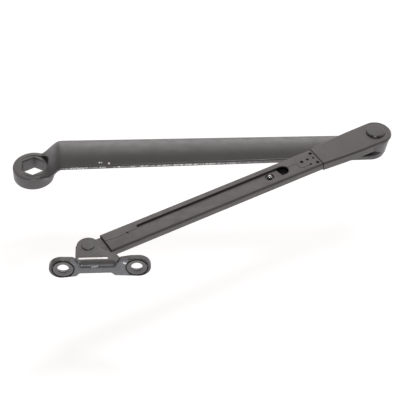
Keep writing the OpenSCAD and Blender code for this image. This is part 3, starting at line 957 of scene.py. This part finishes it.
def shrink(outline, amount):
    """Moves each point of an anticlockwise or clockwise outline inwards."""
    count = len(outline)
    area = sum(outline[i - 1][0] * outline[i][1] - outline[i][0] * outline[i - 1][1] for i in range(count))
    sign = 1 if area > 0 else -1
    moved = []
    for i in range(count):
        before, here, after = (Vector(outline[j % count]) for j in (i - 1, i, i + 1))
        first = (here - before).normalized()
        second = (after - here).normalized()
        normal = Vector((-first.y - second.y, first.x + second.x)).normalized()
        moved.append(tuple(here + normal * amount * sign))
    return moved


def soft_plate(outline, low, high, radius, steps=3):
    """Levels of (height, outline) for a plate whose two faces have rounded edges."""
    levels = []
    for step in range(steps + 1):
        angle = math.radians(90 * step / steps)
        levels.append((low + radius * (1 - math.sin(angle)) if step < steps else low,
                       shrink(outline, radius * (1 - math.cos(angle)) if step else 0.0)))
    bottom = list(reversed(levels))
    top = [(low + high - z, points) for z, points in levels]
    return bottom + top


def foot_mesh():
    """The upright foot, without its holes."""
    levels = soft_plate(foot_outline(), FOOT_FRONT, FOOT_FRONT + FOOT_T, FOOT_EDGE)
    return loft([[(x, y, z) for x, z in points] for y, points in levels])


def ear_mesh():
    """The ear: a lobe round the pivot that widens to the foot."""
    outline = rounded([(EAR_LEFT, -1.0, 0), (EAR_LEFT, FOOT_FRONT + 0.5, 0),
                       (EAR_RIGHT + 1.8, FOOT_FRONT + 0.5, 0),
                       (EAR_RIGHT + 1.8, -15.2, 1.5), (EAR_RIGHT - 2, -10, 3.0), (10.2, -3.4, 4.0),
                       (EAR_R, -0.5, 0)])
    lobe = arc((0, 0), EAR_R, 2, 178, 36)
    levels = soft_plate(outline + lobe, EAR_Z - EAR_T, EAR_Z, EAR_EDGE)
    return loft([[(x, y, z) for x, y in points] for z, points in levels])


def sideways(bm, centre_x, centre_z, front):
    """Turns a lathe's axis from the vertical to the foot's own, pointing out of its front."""
    turn = Matrix.Translation((centre_x, front, centre_z)) @ Matrix.Rotation(math.radians(90), 4, "X")
    bm.transform(turn)
    return bm


def bend_tool():
    """What the rounded outside of the bend leaves of a square corner."""
    y0, z0 = FOOT_FRONT, EAR_Z
    left, right = EAR_LEFT + 2.6, EAR_RIGHT - 2.6
    rings = []
    stations = [(left + into, size) for into, size in BEND_ENDS]
    stations += [(right - into, size) for into, size in reversed(BEND_ENDS)]
    for x, size in stations:
        reach, drop = BEND_REACH * size, BEND_DROP * size
        section = [(y0 - 1, z0 - drop - 0.2)]
        section += [(y0 + reach + reach * c, z0 - drop + drop * s) for c, s in arc((0, 0), 1, 180, 90, 16)]
        section += [(y0 + reach, z0 + 1), (y0 - 1, z0 + 1)]
        rings.append([(x, y, z) for y, z in section])
    return loft(rings)


def build_bracket():
    """The shoe's stamping: foot and ear in one, then its bend, slit, pivot hole and two seats."""
    foot = new_object("shoe_stamping", foot_mesh(), SHOE_FRAME)
    combine(foot, [new_object("ear", ear_mesh(), SHOE_FRAME)], "UNION")
    left, right, near, far = SLIT
    lip = far - LEDGE
    slit = prism(rounded([(left, near, 0.2), (right, near, 0.2), (right, lip, 0.2), (left, lip, 0.2)]),
                 EAR_Z - EAR_T - 1, EAR_Z + 1)
    recess = prism(rounded([(left, near, 1.2), (right, near, 1.2), (right, far, 1.2), (left, far, 1.2)]),
                   EAR_Z - 0.5, EAR_Z + 1)
    pin = lathe([(0, EAR_Z - 6), (SHOE_SHANK_R, EAR_Z - 6), (SHOE_SHANK_R, EAR_Z + 1), (0, EAR_Z + 1)],
                steps=64)
    tools = [new_object(name, bm, SHOE_FRAME) for name, bm in
             (("bend", bend_tool()), ("slit", slit), ("recess", recess), ("pin", pin))]
    for side in (-1, 1):
        hole = lathe([(0, -6), (SEAT_R, -6), (SEAT_R, -SEAT_DEPTH), (FLANGE_R + 0.7, -SEAT_DEPTH),
                      (FLANGE_R + 0.8, -0.4), (9.0, 0), (9.0, 1), (0, 1)], steps=72)
        hole = sideways(hole, FOOT_X + side * HOLE_SPACING / 2, HOLE_Z, FOOT_FRONT)
        tools.append(new_object("hole", hole, SHOE_FRAME))
    combine(foot, tools, "DIFFERENCE")
    clean(foot)
    return piece(foot, "shoe", "paint_shoe", PAINT_SHOE, "shoe_bracket")


def build_bushing(side, name):
    """A screw bushing whose dished flange sits just under the foot's face, with a shadow line round it."""
    profile = [(5.6, -FOOT_T), (5.9, -FOOT_T), (SEAT_R, -FOOT_T + 0.2), (SEAT_R, -SEAT_DEPTH),
               (FLANGE_R, -SEAT_DEPTH), (FLANGE_R, -0.5), (7.55, -0.15), (7.0, -0.05), (6.2, -0.25),
               (HOLE_R + 0.6, -0.5), (HOLE_R + 0.15, -0.75), (HOLE_R, -1.1), (HOLE_R, -SEAT_DEPTH)]
    bm = sideways(lathe(profile, steps=72), FOOT_X + side * HOLE_SPACING / 2, HOLE_Z, FOOT_FRONT)
    bushing = new_object("bushing_" + name, bm, SHOE_FRAME)
    return piece(bushing, "shoe", "paint_rivet", PAINT_SCREW, "screw_bushing_" + name)


def build_shoe_rivet():
    """The shoe's rivet, with a low head whose rim is undercut."""
    low, high = span("shoe_rivet", SHOE_FRAME)
    top = high.z
    profile = [(0, low.z), (4.0, low.z), (4.8, low.z + 0.5), (5.2, low.z + 1.4),
               (SHOE_SHANK_R, low.z + 1.4), (SHOE_SHANK_R, EAR_Z - 0.04), (4.6, EAR_Z - 0.04),
               (5.0, EAR_Z + 0.3), (5.0, EAR_Z + 0.34), (4.55, top - 0.08), (4.1, top - 0.02), (0, top)]
    rivet = new_object("rivet_shoe", lathe(profile, steps=64), SHOE_FRAME)
    return piece(rivet, "shoe", "paint_rivet", PAINT_RIVET, "shoe_rivet")


WAVES = 3
WAVE_STEPS = 72


def wave_ring(node, name, body, where, shank):
    """A wave washer round a shank: a thin ring with three waves inside its working height."""
    low, high = span(node, where)
    outer = (high.x - low.x) / 2
    inner = shank + 0.3
    sheet = 0.22
    lift = (high.z - low.z - sheet) / 2
    middle = (high.z + low.z) / 2
    rings = []
    for step in range(WAVE_STEPS):
        angle = 2 * math.pi * step / WAVE_STEPS
        z = middle + lift * math.cos(WAVES * angle)
        section = ((inner, -sheet / 2), (outer, -sheet / 2), (outer, sheet / 2), (inner, sheet / 2))
        rings.append([(radius * math.cos(angle), radius * math.sin(angle), z + height)
                      for radius, height in section])
    washer = new_object(name, loft(rings, closed_path=True), where)
    return piece(washer, body, "spring_steel", PLATED, node)


# ---------------- the model
build_main_arm()
build_channel()
build_tube()
build_stakes()
build_elbow_rivet()
build_slide()
build_ball()
build_bracket()
build_bushing(-1, "left")
build_bushing(1, "right")
build_shoe_rivet()
wave_ring("elbow_wave_washer", "wave_elbow", "forearm", FOREARM_FRAME, ELBOW_SHANK_R)
wave_ring("shoe_wave_washer", "wave_shoe", "shoe", SHOE_FRAME, SHOE_SHANK_R)

# CAD nodes whose shape is right as it is: they only get their material
CARRIED = {
    "elbow_bushing": BRONZE, "shoe_bushing": BRONZE, "elbow_thrust_washer": NYLON, "floor_liner": NYLON,
    "elbow_tail_washer": PLATED, "shoe_spacer_washer": PLATED, "shoe_tail_washer": PLATED,
    "splice_block": PAINT_INNER, "ball_cup": PAINT_INNER,
}
for node_name, material in CARRIED.items():
    for material_slot in frame["nodes"][node_name].material_slots:
        material_slot.material = material

# ---------------- floor, light and camera
FLOOR_Z = -0.25
FLOOR_REACH = 6.0
FLOOR_GLOW = 0.44
# studio brightness by degrees from the horizon behind the object, over the top, to the one in front
SKY = ((0, 0.5), (20, 0.70), (44, 1.03), (56, 0.78), (70, 0.52), (88, 0.62), (101, 0.48), (111, 0.03),
       (166, 0.03), (180, 0.22))
SKY_TINT = (1.05, 0.98, 0.97)
FLANK_X = 0.6
FLANK_LEFT, FLANK_RIGHT = 0.22, 0.95
FLANK_POWER = 2.5
# name, place, target, size and power
LIGHTS = (("glint", (0.22, -0.75, 1.25), (0.13, -0.05, 0), (0.14, 0.09), 3.5),
          ("back", (0.3, 1.6, 0.5), (0.13, 0.2, -0.1), (2.0, 0.8), 6),
          ("window", (0.14, 1.35, 1.35), (0.14, -0.05, 0), (0.45, 0.7), 0.8))
CAMERA_YAW, CAMERA_TILT = math.radians(2.01), math.radians(44.05)
CAMERA_DISTANCE = 1.2
CAMERA_TARGET = Vector((0.13505, -0.05395, 0.020))
CAMERA_LENS, CAMERA_SENSOR = 136.28, 36.0
CAMERA_CLIP_END = 50


def build_floor():
    """A plain pale floor well below the object, with a little glow so that it stays white."""
    mesh = bpy.data.meshes.new("floor")
    size = FLOOR_REACH
    corners = [(x, y, FLOOR_Z) for x, y in ((-size, -size), (size, -size), (size, size), (-size, size))]
    mesh.from_pydata(corners, [], [(0, 1, 2, 3)])
    floor = bpy.data.objects.new("floor", mesh)
    bpy.context.scene.collection.objects.link(floor)
    g = Graph("floor")
    g.shader.inputs["Base Color"].default_value = (0.93, 0.93, 0.93, 1)
    g.shader.inputs["Emission Color"].default_value = (1, 1, 1, 1)
    g.shader.inputs["Emission Strength"].default_value = FLOOR_GLOW
    g.shader.inputs["Roughness"].default_value = 0.9
    g.shader.inputs["Specular IOR Level"].default_value = 0.0
    mesh.materials.append(g.material)


def build_world():
    """A plain studio whose brightness goes by angle, with a dimmer left flank and a bright right one."""
    world = bpy.data.worlds.new("studio")
    bpy.context.scene.world = world
    world.use_nodes = True
    tree = world.node_tree

    def node(kind, **values):
        made = tree.nodes.new(kind)
        for key, value in values.items():
            setattr(made, key, value)
        return made

    link = tree.links.new
    split = node("ShaderNodeSeparateXYZ")
    link(node("ShaderNodeTexCoord").outputs["Generated"], split.inputs[0])
    angle = node("ShaderNodeMath", operation="ARCTAN2")
    link(split.outputs["Z"], angle.inputs[0])
    link(split.outputs["Y"], angle.inputs[1])
    part = node("ShaderNodeMath", operation="DIVIDE", use_clamp=True)
    link(angle.outputs[0], part.inputs[0])
    part.inputs[1].default_value = math.pi
    over = node("ShaderNodeValToRGB")
    while len(over.color_ramp.elements) < len(SKY):
        over.color_ramp.elements.new(0.5)
    for element, (degrees, value) in zip(over.color_ramp.elements, SKY):
        element.position = degrees / 180
        element.color = rgb(SKY_TINT, value)
    link(part.outputs[0], over.inputs["Fac"])
    spread = node("ShaderNodeMath", operation="ABSOLUTE")
    link(split.outputs["X"], spread.inputs[0])
    side = node("ShaderNodeMath", operation="POWER")
    link(spread.outputs[0], side.inputs[0])
    side.inputs[1].default_value = FLANK_POWER
    flank = node("ShaderNodeMapRange")
    link(split.outputs["X"], flank.inputs["Value"])
    for name, value in (("From Min", -FLANK_X), ("From Max", FLANK_X), ("To Min", FLANK_LEFT),
                        ("To Max", FLANK_RIGHT)):
        flank.inputs[name].default_value = value
    mix = node("ShaderNodeMixRGB")
    link(side.outputs[0], mix.inputs["Fac"])
    link(over.outputs["Color"], mix.inputs["Color1"])
    link(flank.outputs["Result"], mix.inputs["Color2"])
    link(mix.outputs["Color"], tree.nodes["Background"].inputs["Color"])


def area_light(name, location, target, size, power):
    """A rectangular lamp that points at a target."""
    data = bpy.data.lights.new(name, "AREA")
    data.shape = "RECTANGLE"
    data.size, data.size_y = size
    data.energy = power
    light = bpy.data.objects.new(name, data)
    light.location = location
    light.rotation_euler = (Vector(target) - Vector(location)).to_track_quat("-Z", "Y").to_euler()
    bpy.context.scene.collection.objects.link(light)


def build_camera():
    """Looks down at about 44 degrees, a couple of degrees round from square on."""
    level = math.cos(CAMERA_TILT)
    forward = Vector((level * math.sin(CAMERA_YAW), level * math.cos(CAMERA_YAW), -math.sin(CAMERA_TILT)))
    data = bpy.data.cameras.new("camera")
    data.sensor_width = CAMERA_SENSOR
    data.lens = CAMERA_LENS
    data.clip_end = CAMERA_CLIP_END
    camera = bpy.data.objects.new("camera", data)
    camera.location = CAMERA_TARGET - forward * CAMERA_DISTANCE
    camera.rotation_euler = forward.to_track_quat("-Z", "Y").to_euler()
    bpy.context.scene.collection.objects.link(camera)
    bpy.context.scene.camera = camera


build_floor()
build_world()
for lamp in LIGHTS:
    area_light(*lamp)
build_camera()
bpy.context.scene.view_settings.view_transform = "Standard"
